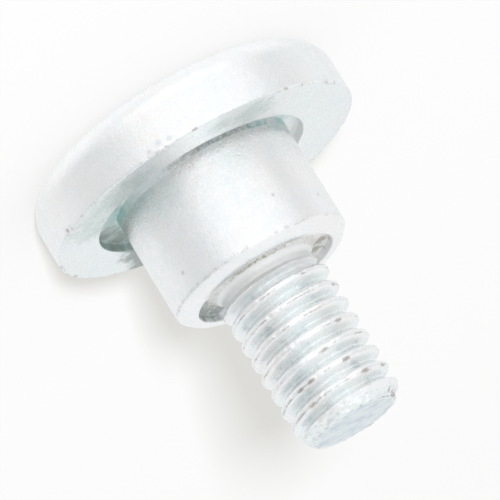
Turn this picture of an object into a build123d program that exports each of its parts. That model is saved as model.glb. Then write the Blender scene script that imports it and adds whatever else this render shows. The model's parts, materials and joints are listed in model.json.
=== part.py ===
"""Shoulder screw: a thick disc head with a hexagon socket, a plain shoulder and an M6 thread, all in one piece.

It stands on its head. The origin is the centre of the head's top face, and +Z runs along the axis to the tip.
"""

from build123d import *
import math
import os

# Head: a thick disc with a round top edge
head_diameter = 17.5
head_height = 3.55
head_top_round = 1.6
head_rim_break = 0.1

# Ring groove in the bearing face, around the root of the shoulder, cut a little off the axis
head_groove_diameter = 12.1
head_groove_depth = 0.55
head_groove_runout = 0.28

# Shoulder, its length counted from the bearing face
shoulder_diameter = 10.0
shoulder_length = 6.1
shoulder_end_chamfer = 0.5

# Ring recess in the end of the shoulder, around the flared foot of the neck
end_recess_diameter = 7.9
end_recess_depth = 0.5
neck_flare = 0.5

# Thread: M6, its length counted from the end of the shoulder, rolled up to a short neck
thread_diameter = 5.97
thread_pitch = 1.0
thread_flank_angle = 60.0
thread_length = 8.9
thread_end_chamfer = 0.5
thread_end_taper = 0.7
neck_length = 0.4
neck_depth = 0.37

# Hexagon socket in the head, with a conical mouth and the point of the pilot drill
socket_across_flats = 5.0
socket_depth = 3.0
socket_mouth_chamfer = 0.4
socket_point_angle = 120.0

os.makedirs("parts", exist_ok=True)

# Levels along the axis
groove_floor = head_height - head_groove_depth
shoulder_end = head_height + shoulder_length
recess_floor = shoulder_end - end_recess_depth
neck_end = shoulder_end + neck_length
tip = shoulder_end + thread_length

# Radii
head_radius = head_diameter / 2
groove_radius = head_groove_diameter / 2
shoulder_radius = shoulder_diameter / 2
recess_radius = end_recess_diameter / 2
crest_radius = thread_diameter / 2
neck_radius = crest_radius - neck_depth

# Rolled thread form: broad plated crests, roots an eighth of the pitch wide, straight flanks between them
crest_flat = 0.3 * thread_pitch
root_flat = thread_pitch / 8
flank_rise = (thread_pitch - crest_flat - root_flat) / 2
thread_root_radius = crest_radius - flank_rise / math.tan(math.radians(thread_flank_angle / 2))
thread_form = [
    (thread_root_radius, 0),
    (thread_root_radius, root_flat),
    (crest_radius, root_flat + flank_rise),
    (crest_radius, root_flat + flank_rise + crest_flat),
    (thread_root_radius, thread_pitch),
]


def one_turn_helix(radius, height):
    """One right-hand turn that starts on the XZ plane."""
    return Edge.make_helix(thread_pitch, thread_pitch, radius, center=(0, 0, height))


def rod_end(height):
    """The two faces that close the rod: a helical ramp one pitch high and the half section it leaves open."""
    axis = Edge.make_line((0, 0, height), (0, 0, height + thread_pitch))
    ramp = Face.make_surface_from_curves(axis, one_turn_helix(thread_root_radius, height))
    corners = [(radius, 0, height + rise) for radius, rise in [(0, 0), *thread_form, (0, thread_pitch)]]
    return [ramp, Face(Wire.make_polygon(corners, close=True))]


def threaded_rod(base, turns):
    """A solid rod of whole turns: strips ruled between the helices of the thread form, stacked and sewn."""
    helices = [one_turn_helix(radius, base + rise) for radius, rise in thread_form]
    strips = [Face.make_surface_from_curves(low, high) for low, high in zip(helices, helices[1:])]
    stacked = [strip.translate((0, 0, turn * thread_pitch)) for turn in range(turns) for strip in strips]
    return Solid(Shell([*stacked, *rod_end(base), *rod_end(base + turns * thread_pitch)]))


# The rod reaches past both ends of the thread, so that only the turned outline of the shank ends it
rod_base = neck_end - 9 * thread_pitch / 4
rod_turns = math.ceil((tip - neck_end) / thread_pitch) + 3
threads = threaded_rod(rod_base, rod_turns)

with BuildPart() as screw:
    # Threaded shank: the rod trimmed to a cone at the neck and a tapered tip
    add(threads)
    trim = thread_pitch / 4
    taper = thread_end_taper / thread_end_chamfer
    with BuildSketch(Plane.XZ):
        with BuildLine():
            Polyline(
                (0, neck_end - trim),
                (neck_radius - trim, neck_end - trim),
                (crest_radius + trim, neck_end + neck_depth + trim),
                (crest_radius + trim, tip - thread_end_taper - taper * trim),
                (crest_radius - thread_end_chamfer, tip),
                (0, tip),
                close=True,
            )
        make_face()
    revolve(axis=Axis.Z, mode=Mode.INTERSECT)

    # Turned body: half of its section from the head's top face to the neck, spun about the axis
    overlap = trim / 5
    with BuildSketch(Plane.XZ):
        with BuildLine():
            top = Line((0, 0), (head_radius - head_top_round, 0))
            crown = JernArc(top @ 1, top % 1, head_top_round, 90)
            Polyline(
                crown @ 1,
                (head_radius, head_height - head_rim_break),
                (head_radius - head_rim_break, head_height),
                (shoulder_radius, head_height),
                (shoulder_radius, shoulder_end - shoulder_end_chamfer),
                (shoulder_radius - shoulder_end_chamfer, shoulder_end),
                (recess_radius, shoulder_end),
                (recess_radius, recess_floor),
                (neck_radius + neck_flare, recess_floor),
                (neck_radius, recess_floor + neck_flare),
                (neck_radius, neck_end + overlap),
                (0, neck_end + overlap),
                (0, 0),
            )
        make_face()
    revolve(axis=Axis.Z)

    # Ring groove in the bearing face
    with BuildSketch(Plane.XY.offset(groove_floor)):
        with Locations((head_groove_runout, 0)):
            Circle(groove_radius)
        Circle(shoulder_radius, mode=Mode.SUBTRACT)
    extrude(amount=head_groove_depth, mode=Mode.SUBTRACT)

    # Hexagon socket: broached flats, a conical mouth and the point of the pilot drill
    hexagon_sides = 6
    with BuildSketch():
        RegularPolygon(socket_across_flats / 2, hexagon_sides, major_radius=False)
    extrude(amount=socket_depth, mode=Mode.SUBTRACT)
    pilot_radius = socket_across_flats / 2
    mouth_radius = pilot_radius / math.cos(math.pi / hexagon_sides) + socket_mouth_chamfer
    point_depth = pilot_radius / math.tan(math.radians(socket_point_angle / 2))
    with BuildSketch(Plane.XZ):
        with BuildLine():
            Polyline(
                (0, 0),
                (mouth_radius, 0),
                (pilot_radius, mouth_radius - pilot_radius),
                (pilot_radius, socket_depth),
                (0, socket_depth + point_depth),
                close=True,
            )
        make_face()
    revolve(axis=Axis.Z, mode=Mode.SUBTRACT)

screw.part.label = "screw"
export_step(screw.part, "parts/screw.step")
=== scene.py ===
import json
import math

import bmesh
import bpy
from mathutils import Matrix, Vector, noise


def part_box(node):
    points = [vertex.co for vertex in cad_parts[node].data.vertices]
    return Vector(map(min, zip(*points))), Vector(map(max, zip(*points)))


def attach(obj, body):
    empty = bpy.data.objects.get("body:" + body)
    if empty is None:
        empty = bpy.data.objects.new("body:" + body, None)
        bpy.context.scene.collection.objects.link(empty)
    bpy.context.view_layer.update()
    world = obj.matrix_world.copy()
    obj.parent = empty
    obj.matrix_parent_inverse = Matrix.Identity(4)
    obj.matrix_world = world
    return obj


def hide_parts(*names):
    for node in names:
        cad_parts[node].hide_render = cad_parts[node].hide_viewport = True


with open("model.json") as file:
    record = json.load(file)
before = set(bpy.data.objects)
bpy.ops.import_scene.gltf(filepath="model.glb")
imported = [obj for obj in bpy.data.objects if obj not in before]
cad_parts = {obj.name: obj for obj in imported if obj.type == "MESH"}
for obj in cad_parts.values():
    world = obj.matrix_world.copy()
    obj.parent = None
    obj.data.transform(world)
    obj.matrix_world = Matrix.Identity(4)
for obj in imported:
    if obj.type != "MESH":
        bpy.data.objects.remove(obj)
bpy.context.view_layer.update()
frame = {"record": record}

# ------------------------------------------------------------------ screw
# The shoulder screw, one piece of steel: the head and shoulder are turned, the hexagon socket is broached
# and the M6 thread is rolled. It is zinc plated and passivated to a pale satin, and handling has nicked its
# edges.
mm = 0.001
node_low, node_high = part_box("screw")
mounts = {mount["name"]: mount for mount in frame["record"]["mounts"]}


def level(name):
    """The height in mm at which a mount sits on the axis."""
    return mounts[name]["pos_m"][2] / mm


# head, with a ring groove in its bearing face that was cut a little off the axis
head_radius = -node_low.x / mm
head_round = 1.6
bearing = level("bearing_face")
groove_radius = 6.05
groove_offset = 0.28
groove_floor = bearing - 0.55

# shoulder, with a ring recess in its end
shoulder_radius = mounts["shoulder"]["dims"]["r_mm"]
shoulder_end = level("shoulder_end")
end_chamfer = 0.5
recess_radius = 3.95
recess_floor = shoulder_end - 0.5

# thread: broad rolled crests, roots an eighth of the pitch wide and 60 degrees between the flanks
pitch = 1.0
crest_radius = 2.985
crest_flat = 0.3 * pitch
root_flat = pitch / 8
flank_rise = (pitch - crest_flat - root_flat) / 2
root_radius = crest_radius - flank_rise / math.tan(math.radians(30))
tip = node_high.z / mm
tip_radius = crest_radius - 0.5
tip_taper = 0.7

# neck between the recess and the thread, with a flared foot
neck_radius = crest_radius - 0.37
neck_flare = 0.5
neck_foot_radius = neck_radius + neck_flare
neck_end = shoulder_end + 0.4

# hexagon socket, with a conical mouth and the 120 degree point of its drill
socket_flats = 2.5
socket_mouth = socket_flats / math.cos(math.radians(30)) + 0.4
socket_depth = 3.0
socket_point = socket_depth + socket_flats / math.tan(math.radians(60))


def hexagon(angle):
    """Distance from the axis to the hexagon socket's wall."""
    return socket_flats / math.cos((angle - math.pi / 6) % (math.pi / 3) - math.pi / 6)


def offset_ring(angle, radius):
    """Distance from the axis to a ring of the bearing face's groove, which was cut a little off it."""
    return groove_offset * math.cos(angle) + math.sqrt(radius ** 2 - (groove_offset * math.sin(angle)) ** 2)


def filleted(corners, longest=0.3, steps=4):
    """Points along a profile of (radius, height, round, kind), corners rounded and long runs divided."""
    points = []
    for index, (radius, height, rounding, kind) in enumerate(corners):
        corner = Vector((radius, height))
        if rounding:
            before = (Vector(corners[index - 1][:2]) - corner).normalized()
            after = (Vector(corners[index + 1][:2]) - corner).normalized()
            for step in range(steps + 1):
                t = step / steps
                away = before * (1 - t) ** 2 + after * t ** 2
                points.append((corner + away * rounding, kind))
        else:
            points.append((corner, kind))
    run = [points[0]]
    for point, kind in points[1:]:
        start = run[-1][0]
        count = math.ceil((point - start).length / longest)
        run += [(start.lerp(point, part / count), kind) for part in range(1, max(count, 1))]
        run.append((point, kind))
    return run


def thread_radius(rise):
    """Radius of the thread form at a rise from the foot of a root, its corners worn round."""
    samples = 7
    worn_width = 0.16 * pitch
    total = 0
    for sample in range(samples):
        at = (rise + (sample / (samples - 1) - 0.5) * worn_width) % pitch
        climb = min(max((at - root_flat) / flank_rise, 0), 1)
        fall = min(max((at - pitch + flank_rise) / flank_rise, 0), 1)
        total += root_radius + (crest_radius - root_radius) * (climb - fall)
    return total / samples


# nicks and dents: degrees from the front towards +X, radius, height, width and depth
rim = bearing - 0.03
nicks = [
    (-65, head_radius, rim, 0.35, 0.10), (-71, head_radius, rim, 0.30, 0.09),
    (57, head_radius, rim - 0.1, 0.4, 0.08), (-19, head_radius, rim - 0.3, 0.3, 0.05),
    (12, head_radius, rim, 0.3, 0.06), (31, head_radius, rim, 0.25, 0.05),
    (-43, head_radius, rim, 0.5, 0.05), (150, head_radius, rim, 0.4, 0.08),
    (-120, head_radius, rim, 0.4, 0.06),
    (24, crest_radius, 17.6, 0.35, 0.12), (-42, crest_radius, 17.35, 0.35, 0.10),
    (-28, crest_radius, 16.3, 0.3, 0.10), (-12, crest_radius, 15.3, 0.4, 0.10),
    (-44, crest_radius, 14.4, 0.3, 0.08), (-70, crest_radius, 11.9, 0.3, 0.1),
    (60, crest_radius, 13.2, 0.3, 0.08), (120, crest_radius, 15.0, 0.35, 0.1),
    (-150, crest_radius, 13.0, 0.35, 0.1), (175, tip_radius, tip, 0.4, 0.12),
    (165, tip_radius, tip, 0.3, 0.10), (-75, tip_radius, tip, 0.45, 0.12), (-8, tip_radius, tip, 0.3, 0.06),
    (40, tip_radius, tip, 0.4, 0.08), (-130, tip_radius, tip, 0.35, 0.10),
    (5, 4.4, shoulder_end, 0.3, 0.04), (-50, 4.5, shoulder_end, 0.35, 0.05),
    (62, 4.5, shoulder_end, 0.3, 0.05),
]


def around(angle, radius, height):
    """A point at an angle in degrees from the front towards +X."""
    turn = math.radians(angle - 90)
    return Vector((radius * math.cos(turn), radius * math.sin(turn), height))


nick_places = [(around(*spot), width, depth) for *spot, width, depth in nicks]
crest_wear = 0.10
fine_wear = 0.06
tip_wear = 0.10
tip_drop = 0.04
tip_band = 0.5


def worn(point):
    """The point after years of handling: crests and the tip's rim knocked about, and nicks in the edges."""
    if point.z > neck_end + 0.2:
        radius = math.hypot(point.x, point.y)
        edge = min(max((radius - root_radius) / (crest_radius - root_radius), 0), 1)
        flattened = max(noise.noise(point * 1.4), 0) * crest_wear
        flattened += max(noise.noise(point * 4.0), 0) * fine_wear
        if point.z > tip - tip_band:
            flattened += max(noise.noise(point * 3.0 + Vector((7, 0, 0))), -0.1) * tip_wear
            edge = 1 if radius > tip_radius - 0.2 else 0
        point = point - Vector((point.x, point.y, 0)).normalized() * flattened * edge
        if point.z > tip - 0.35 and radius > tip_radius - tip_band:
            near_rim = (radius - tip_radius + tip_band) / tip_band
            point.z -= (tip_drop + tip_wear * abs(noise.noise(point * 2.2))) * min(near_rim, 1) ** 2
    for place, width, depth in nick_places:
        far = (point - place).length
        if far < width:
            core = Vector((0, 0, place.z - 0.35 * math.hypot(place.x, place.y)))
            point = point + (core - place).normalized() * depth * (1 - (far / width) ** 2) ** 2
    return point


crown = [(head_radius - head_round * (1 - math.sin(math.radians(turn))),
          head_round * (1 - math.cos(math.radians(turn))), 0, "round") for turn in range(6, 90, 6)]
profile = filleted([
    (0, socket_point, 0, "round"),
    (socket_flats, socket_depth, 0, "round"),
    (socket_flats, socket_depth, 0, "hexagon"),
    (socket_flats, 0.6, 0, "mouth"),
    (socket_mouth, 0, 0.1, "round"),
    (head_radius - head_round, 0, 0, "round"),
    *crown,
    (head_radius, head_round, 0, "round"),
    (head_radius, bearing, 0.14, "round"),
    (groove_radius, bearing, 0.08, "groove"),
    (groove_radius, groove_floor, 0.1, "groove"),
    (shoulder_radius, groove_floor, 0.1, "round"),
    (shoulder_radius, shoulder_end - end_chamfer, 0.14, "round"),
    (shoulder_radius - end_chamfer, shoulder_end, 0.2, "round"),
    (recess_radius, shoulder_end, 0.1, "round"),
    (recess_radius, recess_floor, 0.12, "round"),
    (neck_foot_radius, recess_floor, 0.2, "round"),
    (neck_radius, recess_floor + neck_flare, 0.15, "round"),
    (neck_radius, neck_end, 0, "round"),
])
tip_disc = [((tip_radius * share, tip), "round") for share in (1, 0.97, 0.93, 0.88, 0.8, 0.65, 0.4, 0)]


def placed(radius, height, kind, angle):
    """Radius and height of a profile point at an angle, for the off-axis groove and the hexagon socket."""
    if kind == "groove":
        radius = offset_ring(angle, groove_radius) + radius - groove_radius
    if kind == "hexagon":
        radius = hexagon(angle)
    if kind == "mouth":
        radius = hexagon(angle)
        height = socket_mouth - radius
    return radius, height


# the thread's sheet starts below the neck's end and reaches past the tip, where its spare rows fold together
columns = 216
rows_per_pitch = 22
spare_turns = 2.25
thread_rows = math.ceil((tip - neck_end) / pitch + spare_turns + 1.25) * rows_per_pitch


def thread_point(rise, angle):
    """Radius and height of a point of the thread, which climbs one pitch a turn from neck to tip."""
    height = neck_end - spare_turns * pitch + rise + pitch * angle / math.tau
    if height <= neck_end:
        return neck_radius, neck_end
    if height >= tip:
        return tip_radius, tip
    run_out = neck_radius + height - neck_end
    taper = tip_radius + (tip - height) * (crest_radius - tip_radius) / tip_taper
    return min(thread_radius(rise), run_out, taper), height


# the profile and the tip's face are spun, and the thread is a flat sheet that is rolled up into its helix
kinds = ["round", "groove", "hexagon", "mouth"]
body = bmesh.new()
kind_of = body.verts.layers.int.new("kind")
lines = []
for run in (profile, tip_disc):
    line = []
    for (reach, rise), kind in run:
        vertex = body.verts.new((reach, 0, rise))
        vertex[kind_of] = kinds.index(kind)
        line.append(vertex)
    lines += line + [body.edges.new(pair) for pair in zip(line, line[1:])]
bmesh.ops.spin(body, geom=lines, axis=(0, 0, 1), cent=(0, 0, 0), dvec=(0, 0, 0), angle=math.tau,
               steps=columns, use_merge=True)
for vertex in body.verts:
    angle = math.atan2(vertex.co.y, vertex.co.x)
    spun = math.hypot(vertex.co.x, vertex.co.y), vertex.co.z
    reach, rise = placed(*spun, kinds[vertex[kind_of]], angle)
    vertex.co = worn(around(math.degrees(angle) + 90, reach, rise)) * mm
sheet = bmesh.ops.create_grid(body, x_segments=columns, y_segments=thread_rows, size=1)["verts"]
for vertex in sheet:
    angle = math.pi * (vertex.co.x + 1)
    row = thread_rows * (vertex.co.y + 1) / 2
    reach, rise = thread_point(row * pitch / rows_per_pitch, angle)
    vertex.co = worn(around(math.degrees(angle) + 90, reach, rise)) * mm
weld_distance = 0.0005 * mm
sharp_angle = math.radians(38)
bmesh.ops.remove_doubles(body, verts=body.verts, dist=weld_distance)
bmesh.ops.dissolve_degenerate(body, edges=body.edges, dist=weld_distance / 5)
bmesh.ops.recalc_face_normals(body, faces=body.faces)
for face in body.faces:
    face.smooth = True
for edge in body.edges:
    edge.smooth = edge.calc_face_angle(0) < sharp_angle
mesh = bpy.data.meshes.new("worn_screw")
body.to_mesh(mesh)
body.free()
screw = bpy.data.objects.new("worn_screw", mesh)
bpy.context.scene.collection.objects.link(screw)
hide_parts("screw")
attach(screw, "root")


class Shade:
    """A socket of a shader tree with arithmetic: an expression on it adds the Math nodes."""

    def __init__(self, tree, socket=None):
        self.tree = tree
        self.socket = socket

    def node(self, kind, settings=None, inputs=None, output=0):
        """Adds a node: its settings first, then its sockets' values or links, and wraps one output."""
        made = self.tree.nodes.new(kind)
        for name, value in (settings or {}).items():
            setattr(made, name, value)
        for name, value in (inputs or {}).items():
            if isinstance(value, Shade):
                self.tree.links.new(value.socket, made.inputs[name])
            else:
                made.inputs[name].default_value = value
        return Shade(self.tree, made.outputs[output])

    def math(self, operation, *values):
        return self.node("ShaderNodeMath", {"operation": operation}, dict(enumerate(values)))

    def vector(self, operation, values, output="Vector"):
        return self.node("ShaderNodeVectorMath", {"operation": operation}, values, output)

    def __add__(self, other):
        return self.math("ADD", self, other)

    __radd__ = __add__

    def __sub__(self, other):
        return self.math("SUBTRACT", self, other)

    def __rsub__(self, other):
        return self.math("SUBTRACT", other, self)

    def __mul__(self, other):
        return self.math("MULTIPLY", self, other)

    __rmul__ = __mul__

    def __truediv__(self, other):
        return self.math("DIVIDE", self, other)

    def __rtruediv__(self, other):
        return self.math("DIVIDE", other, self)

    def atleast(self, other):
        return self.math("MAXIMUM", self, other)

    def step(self, start, end):
        """0 up to start, 1 from end on, smooth between; falls instead where end is below start."""
        low_end, high_end, first, last = (start, end, 0, 1) if start < end else (end, start, 1, 0)
        return self.node("ShaderNodeMapRange", {"interpolation_type": "SMOOTHSTEP"},
                         {"Value": self, "From Min": low_end, "From Max": high_end, "To Min": first,
                          "To Max": last})

    def within(self, start, end, soft):
        """1 between start and end, 0 outside, over a soft edge."""
        return self.step(start - soft, start + soft) * self.step(end + soft, end - soft)

    def close_to(self, value, edge, core):
        """1 nearer than core to a value, 0 beyond edge."""
        return self.math("ABSOLUTE", self - value).step(edge, core)

    def mix(self, other, share):
        """This colour with another laid over it by a share."""
        return self.node("ShaderNodeMix", {"data_type": "RGBA"}, {0: share, 6: self, 7: other}, output=2)


steel = bpy.data.materials.new("zinc_plated_steel")
steel.use_nodes = True
plating = Shade(steel.node_tree)
here = plating.vector("SCALE", {0: plating.node("ShaderNodeTexCoord", output="Object"), "Scale": 1 / mm})
side_x = plating.node("ShaderNodeSeparateXYZ", {}, {0: here}, output="X")
side_y = plating.node("ShaderNodeSeparateXYZ", {}, {0: here}, output="Y")
height = plating.node("ShaderNodeSeparateXYZ", {}, {0: here}, output="Z")
across = plating.vector("MULTIPLY", {0: here, 1: (1, 1, 0)})
radius = plating.vector("LENGTH", {0: across}, output="Value")
turn = plating.math("ARCTAN2", side_y, side_x) / math.tau


def soft_noise(scale, detail=3.0, rough=0.55, vector=here):
    return plating.node("ShaderNodeTexNoise", {}, {"Vector": vector, "Scale": scale, "Detail": detail,
                                                   "Roughness": rough})


grain = soft_noise(13.0, 2.0, 0.6)
fine = soft_noise(9.0, 4.0, 0.7)
speckle = soft_noise(5.0, 4.0, 0.65)
ragged = soft_noise(3.2, 4.0, 0.7)
mottle = soft_noise(1.6, 4.0, 0.6)
cloud = soft_noise(0.4, 3.0, 0.5)
along = plating.node("ShaderNodeCombineXYZ", {}, {0: side_x * 1.2, 1: side_y * 1.2, 2: height * 3.5})
streak = soft_noise(1.0, 3.0, 0.6, along)
lathe = plating.node("ShaderNodeCombineXYZ", {}, {0: radius * 9, 1: turn * 6, 2: height * 9})
turned = soft_noise(1.0, 3.0, 0.6, lathe)


def patch(angle, spot_radius, spot_height, size):
    """1 in a ragged patch, at degrees from the front towards +X, a radius and a height in mm."""
    spot = around(angle, spot_radius, spot_height)
    far = plating.vector("DISTANCE", {0: here, 1: spot}, output="Value")
    torn = (ragged if size > 0.5 else fine) - 0.5
    return (far + torn * size * 2.2).step(size, size * 0.3)


def patches(*places):
    """Several patches together, each of (degrees, radius, height, size)."""
    whole = patch(*places[0])
    for spot in places[1:]:
        whole = whole.atleast(patch(*spot))
    return whole


# where the surface is: in the groove or the recess, on a face, or on the thread's crests and valleys
in_groove = (height.within(groove_floor - 0.1, bearing - 0.03, 0.03)
             * radius.within(shoulder_radius - 0.1, groove_radius + 0.55, 0.05))
in_recess = (height.within(recess_floor - 0.1, shoulder_end - 0.04, 0.04)
             * radius.step(recess_radius + 0.1, recess_radius))
on_bearing = (height.within(bearing - 0.03, bearing + 0.1, 0.01)
              * radius.step(groove_radius - 0.45, groove_radius - 0.05))
on_thread = height.step(neck_end, neck_end + 0.1)
valley = on_thread * radius.step(crest_radius - 0.08, crest_radius - 0.42)
crest = on_thread * radius.step(crest_radius - 0.16, crest_radius - 0.03)
on_tip = height.step(tip - 0.2, tip - 0.1)
on_neck = radius.step(neck_foot_radius + 0.185, neck_foot_radius - 0.015)
near_neck = height.within(recess_floor + 0.2, neck_end + 0.5, 0.1) * on_neck
turn_height = height / pitch - turn
phase = turn_height.math("FRACT", turn_height)
crest_line = root_flat + flank_rise + 0.03

bright = (0.925, 0.925, 0.925, 1)
blue_white = (0.87, 0.90, 0.91, 1)
warm_white = (0.93, 0.90, 0.885, 1)
grey = (0.76, 0.79, 0.80, 1)
sea = (0.76, 0.87, 0.86, 1)
steel_blue = (0.58, 0.66, 0.71, 1)
shaded_green = (0.43, 0.55, 0.51, 1)
teal = (0.30, 0.62, 0.62, 1)
deep = (0.16, 0.21, 0.19, 1)
sludge_and_shade = (0.26, 0.31, 0.28, 1)
grime = (0.07, 0.06, 0.05, 1)
olive = (0.30, 0.27, 0.15, 1)
rust = (0.36, 0.32, 0.27, 1)

# the passivated zinc: blue-white and warm clouds, turning marks on the bearing face, bluer valleys and tip,
# part tint and part painted shade
colour = plating.node("ShaderNodeMix", {"data_type": "RGBA"},
                      {0: mottle.step(0.35, 0.7) * 0.8, 6: bright, 7: blue_white}, output=2)
colour = colour.mix(warm_white, cloud.step(0.42, 0.62) * speckle.step(0.35, 0.6))
colour = colour.mix(grey, fine.step(0.5, 0.72) * 0.5)
# passivation tint and painted shade: the valleys, the bearing face and the tip turn bluer
colour = colour.mix(sea, (valley * 0.25).atleast(on_bearing * 0.25).atleast(on_tip * 0.3))
colour = colour.mix(grey, on_bearing * (turned * 0.4 + fine.step(0.45, 0.65) * 0.5))
# painted reflection: duller green sectors of the bearing face, where it mirrors the shoulder's shade
bearing_reflected_shade = patches((42, 7.0, bearing, 2.6), (64, 6.8, bearing, 1.6), (26, 7.2, bearing, 1.6),
                    (-32, 7.2, bearing, 1.7), (-16, 7.2, bearing, 1.0), (56, 7.2, bearing, 2.0))
colour = colour.mix(shaded_green, on_bearing * bearing_reflected_shade * (0.38 + mottle.step(0.4, 0.65) * 0.22))
# painted shadow: the groove turns sea and dull green on its +X side, where shade falls behind the shoulder
groove_shadow_side = side_x.step(3.0, 5.0)
colour = colour.mix(sea, in_groove * (0.2 + groove_shadow_side * 0.6))
colour = colour.mix(shaded_green, in_groove * groove_shadow_side * (0.2 + mottle.step(0.4, 0.6) * 0.4))
# passivation tint and painted shade: blue-grey streaks in the valleys, and a bluer, darker tip face
colour = colour.mix(steel_blue, valley * streak.step(0.55, 0.66) * 0.55)
tip_face = on_tip * radius.step(tip_radius - 0.15, tip_radius - 0.4)
colour = colour.mix(steel_blue, tip_face * (0.35 + streak.step(0.42, 0.62) * 0.45))

# matt dirt and painted shade in the groove and the recess, a painted shadow beside the shoulder, and painted
# shade and teal spots in the crease
# dirt and painted shade: dark spots on the groove's +X side, where shade falls
groove_dirt_shade_spots = patches((95, 5.9, groove_floor, 1.3), (111, 5.8, groove_floor, 1.6),
                       (131, 5.7, groove_floor, 1.4))
mottled_dirt_and_shade = 0.4 + mottle.step(0.35, 0.6) * 0.25 + fine.step(0.35, 0.65) * 0.25
groove_dirt_and_shade = in_groove * groove_dirt_shade_spots * mottled_dirt_and_shade
colour = colour.mix(sludge_and_shade, groove_dirt_and_shade)
# painted shadow: a ragged dark stripe on the bearing face, on the shoulder's +X side
shoulder_shadow_edge = side_x + (ragged - 0.5) * 0.7 + (mottle - 0.5) * 1.5
shoulder_shadow = shoulder_shadow_edge.within(4.2, 5.75, 0.45) * side_y.step(2.0, 3.6)
colour = colour.mix(deep, on_bearing * shoulder_shadow * (0.65 + fine.step(0.3, 0.6) * 0.2))
# painted shade: the crease at the shoulder's foot is darkened, most strongly at the front
shaded_crease = (radius.step(shoulder_radius + 0.14, shoulder_radius + 0.04)
          * height.within(bearing - 0.34, bearing - 0.06, 0.06))
shaded_crease_front = patches((-22, 5, bearing, 3.9))
colour = colour.mix(deep, shaded_crease * (0.25 + speckle.step(0.35, 0.65) * 0.4) * shaded_crease_front)
teal_spots = patches((70, 5.0, bearing - 0.2, 1.1), (-76, 5.0, bearing - 0.2, 1.2),
                     (-50, 5.0, bearing, 1.0))
colour = colour.mix(teal, shaded_crease.atleast(in_groove) * teal_spots * 0.35)

# painted light brightens the neck; an olive line of grime and painted shade rings its foot, and dirt,
# painted shade and stains lie in the recess beside it
# painted light: the neck is made brighter
colour = colour.mix(bright, near_neck * 0.5)
# grime and painted shade: an olive line round the neck's foot, strongest at the front
foot_grime_and_shade = in_recess * height.step(shoulder_end - 0.15, shoulder_end - 0.25) * on_neck
foot_front = 0.3 + patches((0, 3.0, shoulder_end - 0.2, 2.0)) * 0.7
colour = colour.mix(olive, foot_grime_and_shade * (0.25 + speckle.step(0.4, 0.6) * 0.5) * foot_front)
# dirt and painted shade: dark spots in the recess, mostly on its +X side
recess_dirt_shade_spots = patches((88, 3.8, recess_floor, 0.9), (104, 3.6, recess_floor, 1.0),
                       (122, 3.5, recess_floor, 1.0), (-78, 3.9, recess_floor, 0.7))
recess_dirt_and_shade = in_recess * recess_dirt_shade_spots * (0.55 + fine.step(0.35, 0.65) * 0.3)
colour = colour.mix(sludge_and_shade, recess_dirt_and_shade)
stain = patches((-122, 3.3, recess_floor, 0.7), (-104, 3.5, recess_floor, 0.6))
colour = colour.mix(olive, in_recess * stain * 0.6)

# where the plating has rubbed through: broken brown lines along the crests and edges
rubbed = ragged.step(0.5, 0.62)
worn_stretch = soft_noise(0.9, 3.0, 0.6).step(0.5, 0.6) * fine.step(0.36, 0.5)
rim_edge = (radius.step(head_radius - 0.26, head_radius - 0.1)
            * height.within(bearing - 0.1, bearing + 0.1, 0.05))
rim_wear = rim_edge * (0.15 + cloud.step(0.45, 0.55) * 0.55)
shoulder_edge = (radius.step(shoulder_radius - 0.1, shoulder_radius - 0.04)
                 * height.within(shoulder_end - 0.6, shoulder_end - 0.42, 0.04))
colour = colour.mix(rust, rim_wear.atleast(shoulder_edge * 0.3) * rubbed)
colour = colour.mix(rust, crest * phase.close_to(crest_line, 0.06, 0.015) * worn_stretch * 0.6)
tip_edge = radius.within(tip_radius - 0.2, tip_radius - 0.08, 0.04) * height.step(tip - 0.4, tip - 0.2)
colour = colour.mix(rust, tip_edge * ragged.step(0.46, 0.6) * (0.2 + mottle.step(0.45, 0.6) * 0.55))

# single marks: dark specks, bluish spots on the rim, and brown ones on the crests, tip, rim and shoulder
colour = colour.mix(grime, speckle.step(0.66, 0.76) * 0.14)
blued = patches((3, head_radius, bearing - 0.3, 0.2), (7, head_radius, bearing - 0.42, 0.22),
                (11, head_radius, bearing - 0.3, 0.16), (54, head_radius, bearing - 0.2, 0.2))
colour = colour.mix(steel_blue, blued * 0.5)
crest_skin = 2.95
crest_marks = patches((26, crest_skin, 17.47, 0.4), (-39, crest_skin, 17.22, 0.42),
                      (-27, crest_skin, 16.26, 0.4), (16, crest_skin, 16.32, 0.34),
                      (-12, crest_skin, 15.38, 0.42), (-43, crest_skin, 14.26, 0.34),
                      (-66, crest_skin, 17.15, 0.34), (30, crest_skin, 16.35, 0.3),
                      (-70, crest_skin, 11.95, 0.34))
colour = colour.mix(rust, crest_marks * on_thread * phase.close_to(crest_line, 0.13, 0.05) * 0.75)
marks = patches((172, 2.4, tip, 0.5), (-166, 2.4, tip, 0.4), (-82, 2.45, tip - 0.15, 0.3),
                (-66, 2.6, tip - 0.3, 0.22), (104, 8.7, bearing - 0.1, 0.3),
                (-65, head_radius, bearing, 0.2), (-71, head_radius, bearing, 0.2),
                (57, head_radius, bearing - 0.2, 0.18))
colour = colour.mix(rust, marks * 0.8)
faint = patches((43.4, shoulder_radius, 8.1, 0.16), (-64, shoulder_radius, 7.9, 0.15),
                (-30, shoulder_radius, 7.3, 0.13), (0, shoulder_radius, 9.1, 0.14))
colour = colour.mix(rust, faint * 0.4)

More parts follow.
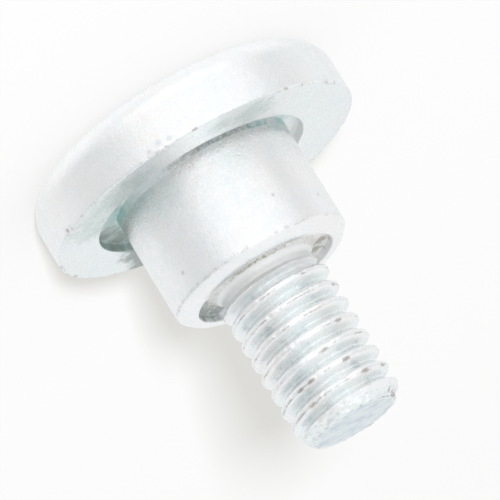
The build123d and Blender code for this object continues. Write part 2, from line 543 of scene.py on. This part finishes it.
# packed dirt and painted shade aren't metal, and the plating is rougher where turning or wear didn't reach
metal = 1 - groove_dirt_and_shade.atleast(recess_dirt_and_shade * 0.8) * 0.9
sheltered = in_groove.atleast(in_recess).atleast(near_neck)
rough = 0.22 + mottle * 0.08 + speckle.step(0.3, 0.75) * 0.08 + on_tip * 0.1 + sheltered * 0.3
relief = grain * 1.1 + speckle + mottle * 2.0 + turned * on_bearing * 1.2
bump = plating.node("ShaderNodeBump", {}, {"Strength": 1.0, "Distance": 0.012 * mm, "Height": relief})
surface = steel.node_tree.nodes["Principled BSDF"]
for name, value in {"Base Color": colour, "Metallic": metal, "Roughness": rough, "Normal": bump}.items():
    steel.node_tree.links.new(value.socket, surface.inputs[name])
mesh.materials.append(steel)

# ------------------------------------------------------------------ floor
# A sheet of white card on the table, under and behind the screw. It takes the screw's soft shadow, and the
# plating doesn't mirror it.
card_half_width = 1.5
card_mesh = bpy.data.meshes.new("floor_card")
card_sheet = bmesh.new()
bmesh.ops.create_grid(card_sheet, x_segments=1, y_segments=1, size=card_half_width)
card_sheet.to_mesh(card_mesh)
card_sheet.free()
card = bpy.data.objects.new("floor_card", card_mesh)
bpy.context.scene.collection.objects.link(card)
paper = bpy.data.materials.new("white_card")
paper.use_nodes = True
paper_nodes = paper.node_tree.nodes
matt = paper_nodes["Principled BSDF"]
matt.inputs["Base Color"].default_value = (0.75, 0.75, 0.75, 1)
matt.inputs["Roughness"].default_value = 0.9
matt.inputs["Specular IOR Level"].default_value = 0.1
card_face = Shade(paper.node_tree, matt.outputs[0])
seen = card_face.node("ShaderNodeLightPath", output="Is Camera Ray")
white = card_face.node("ShaderNodeEmission", {}, {"Color": (1.0, 0.97, 0.89, 1), "Strength": 0.725})
card_look = card_face.node("ShaderNodeMixShader", {}, {0: seen * 0.5, 1: card_face, 2: white})
paper.node_tree.links.new(card_look.socket, paper_nodes["Material Output"].inputs["Surface"])
card_mesh.materials.append(paper)
card.visible_glossy = False
card.visible_shadow = False

# ------------------------------------------------------------------ light
# A pale studio, which the plating mirrors as soft bands: even walls, a broad light low in front and a
# little to the left, brighter walls above it and behind the screw, and pale sweeps low behind and below.
world = bpy.data.worlds.new("studio")
bpy.context.scene.world = world
world.use_nodes = True
backdrop = world.node_tree.nodes["Background"]
room = Shade(world.node_tree)
direction = room.node("ShaderNodeTexCoord", output="Generated")


def aimed(azimuth, elevation):
    """The direction from the screw to a place in the room, in degrees round from +X and up."""
    flat = math.cos(math.radians(elevation))
    return Vector((flat * math.cos(math.radians(azimuth)), flat * math.sin(math.radians(azimuth)),
                   math.sin(math.radians(elevation))))


def toward(azimuth, elevation, edge, core):
    """1 in a round patch of the room, in degrees from its centre, and 0 outside its soft edge."""
    facing = room.vector("DOT_PRODUCT", {0: direction, 1: aimed(azimuth, elevation)}, output="Value")
    return facing.step(math.cos(math.radians(edge)), math.cos(math.radians(core)))


above = room.node("ShaderNodeSeparateXYZ", {}, {0: direction}, output="Z").step(-0.12, 0.08)
walls = 0.80 - above * 0.06
front_light = toward(-110, -25, 58, 40) * 0.28
front_wall = toward(-106, 20, 46, 14) * above * 0.42
back_wall = toward(116, 50, 92, 62) * above * 0.24
back_sweep = toward(88, -16, 88, 70) * (1 - above) * 0.15
floor_glow = toward(0, -90, 62, 40) * 0.12
glow = walls + front_light + front_wall + back_wall + back_sweep + floor_glow
seen_white = 0.97
camera_ray = room.node("ShaderNodeLightPath", output="Is Camera Ray")
glow = glow * (1 - camera_ray) + camera_ray * seen_white
world.node_tree.links.new(glow.socket, backdrop.inputs["Strength"])
backdrop.inputs["Color"].default_value = (0.975, 0.99, 1.0, 1)

# a cool lamp beside the camera, on the card alone, makes the screw's shadow soft, close and a little warm
lamp = bpy.data.lights.new("shadow_lamp", "AREA")
lamp.size = 0.21
lamp.energy = 270
lamp.color = (0.90, 0.92, 1.0)
lamp_stand = bpy.data.objects.new("shadow_lamp", lamp)
bpy.context.scene.collection.objects.link(lamp_stand)
lamp_distance = 3.0
lamp_side = aimed(-93.8, 15)
lamp_turn = lamp_side.to_track_quat("Z", "Y").to_matrix().to_4x4()
lamp_stand.matrix_world = Matrix.Translation(lamp_side * lamp_distance) @ lamp_turn
receivers = bpy.data.collections.new("card_only")
receivers.objects.link(card)
lamp_stand.light_linking.receiver_collection = receivers

# ------------------------------------------------------------------ camera
# A long lens looks down on the standing screw from its front. It is turned on its own axis, so that the
# screw's tip points down to the right.
camera_distance = 0.300
camera_turn = math.radians(58.355)
aim_right = -2.2369 * mm
aim_up = 3.5173 * mm
back = aimed(-90, 16.05)
sideways = Vector((-back.y, back.x, 0)).normalized()
upright = back.cross(sideways)
right = math.cos(camera_turn) * upright - math.sin(camera_turn) * sideways
up = -math.sin(camera_turn) * upright - math.cos(camera_turn) * sideways
stand = Vector((0, 0, bearing * mm)) - right * aim_right - up * aim_up + back * camera_distance
camera_data = bpy.data.cameras.new("camera")
camera_data.sensor_width = 36
camera_data.lens = 420.055
camera_data.clip_start = 0.01
camera = bpy.data.objects.new("camera", camera_data)
camera.matrix_world = Matrix.Translation(stand) @ Matrix((right, up, back)).transposed().to_4x4()
bpy.context.scene.collection.objects.link(camera)
bpy.context.scene.camera = camera
bpy.context.scene.view_settings.view_transform = "Standard"
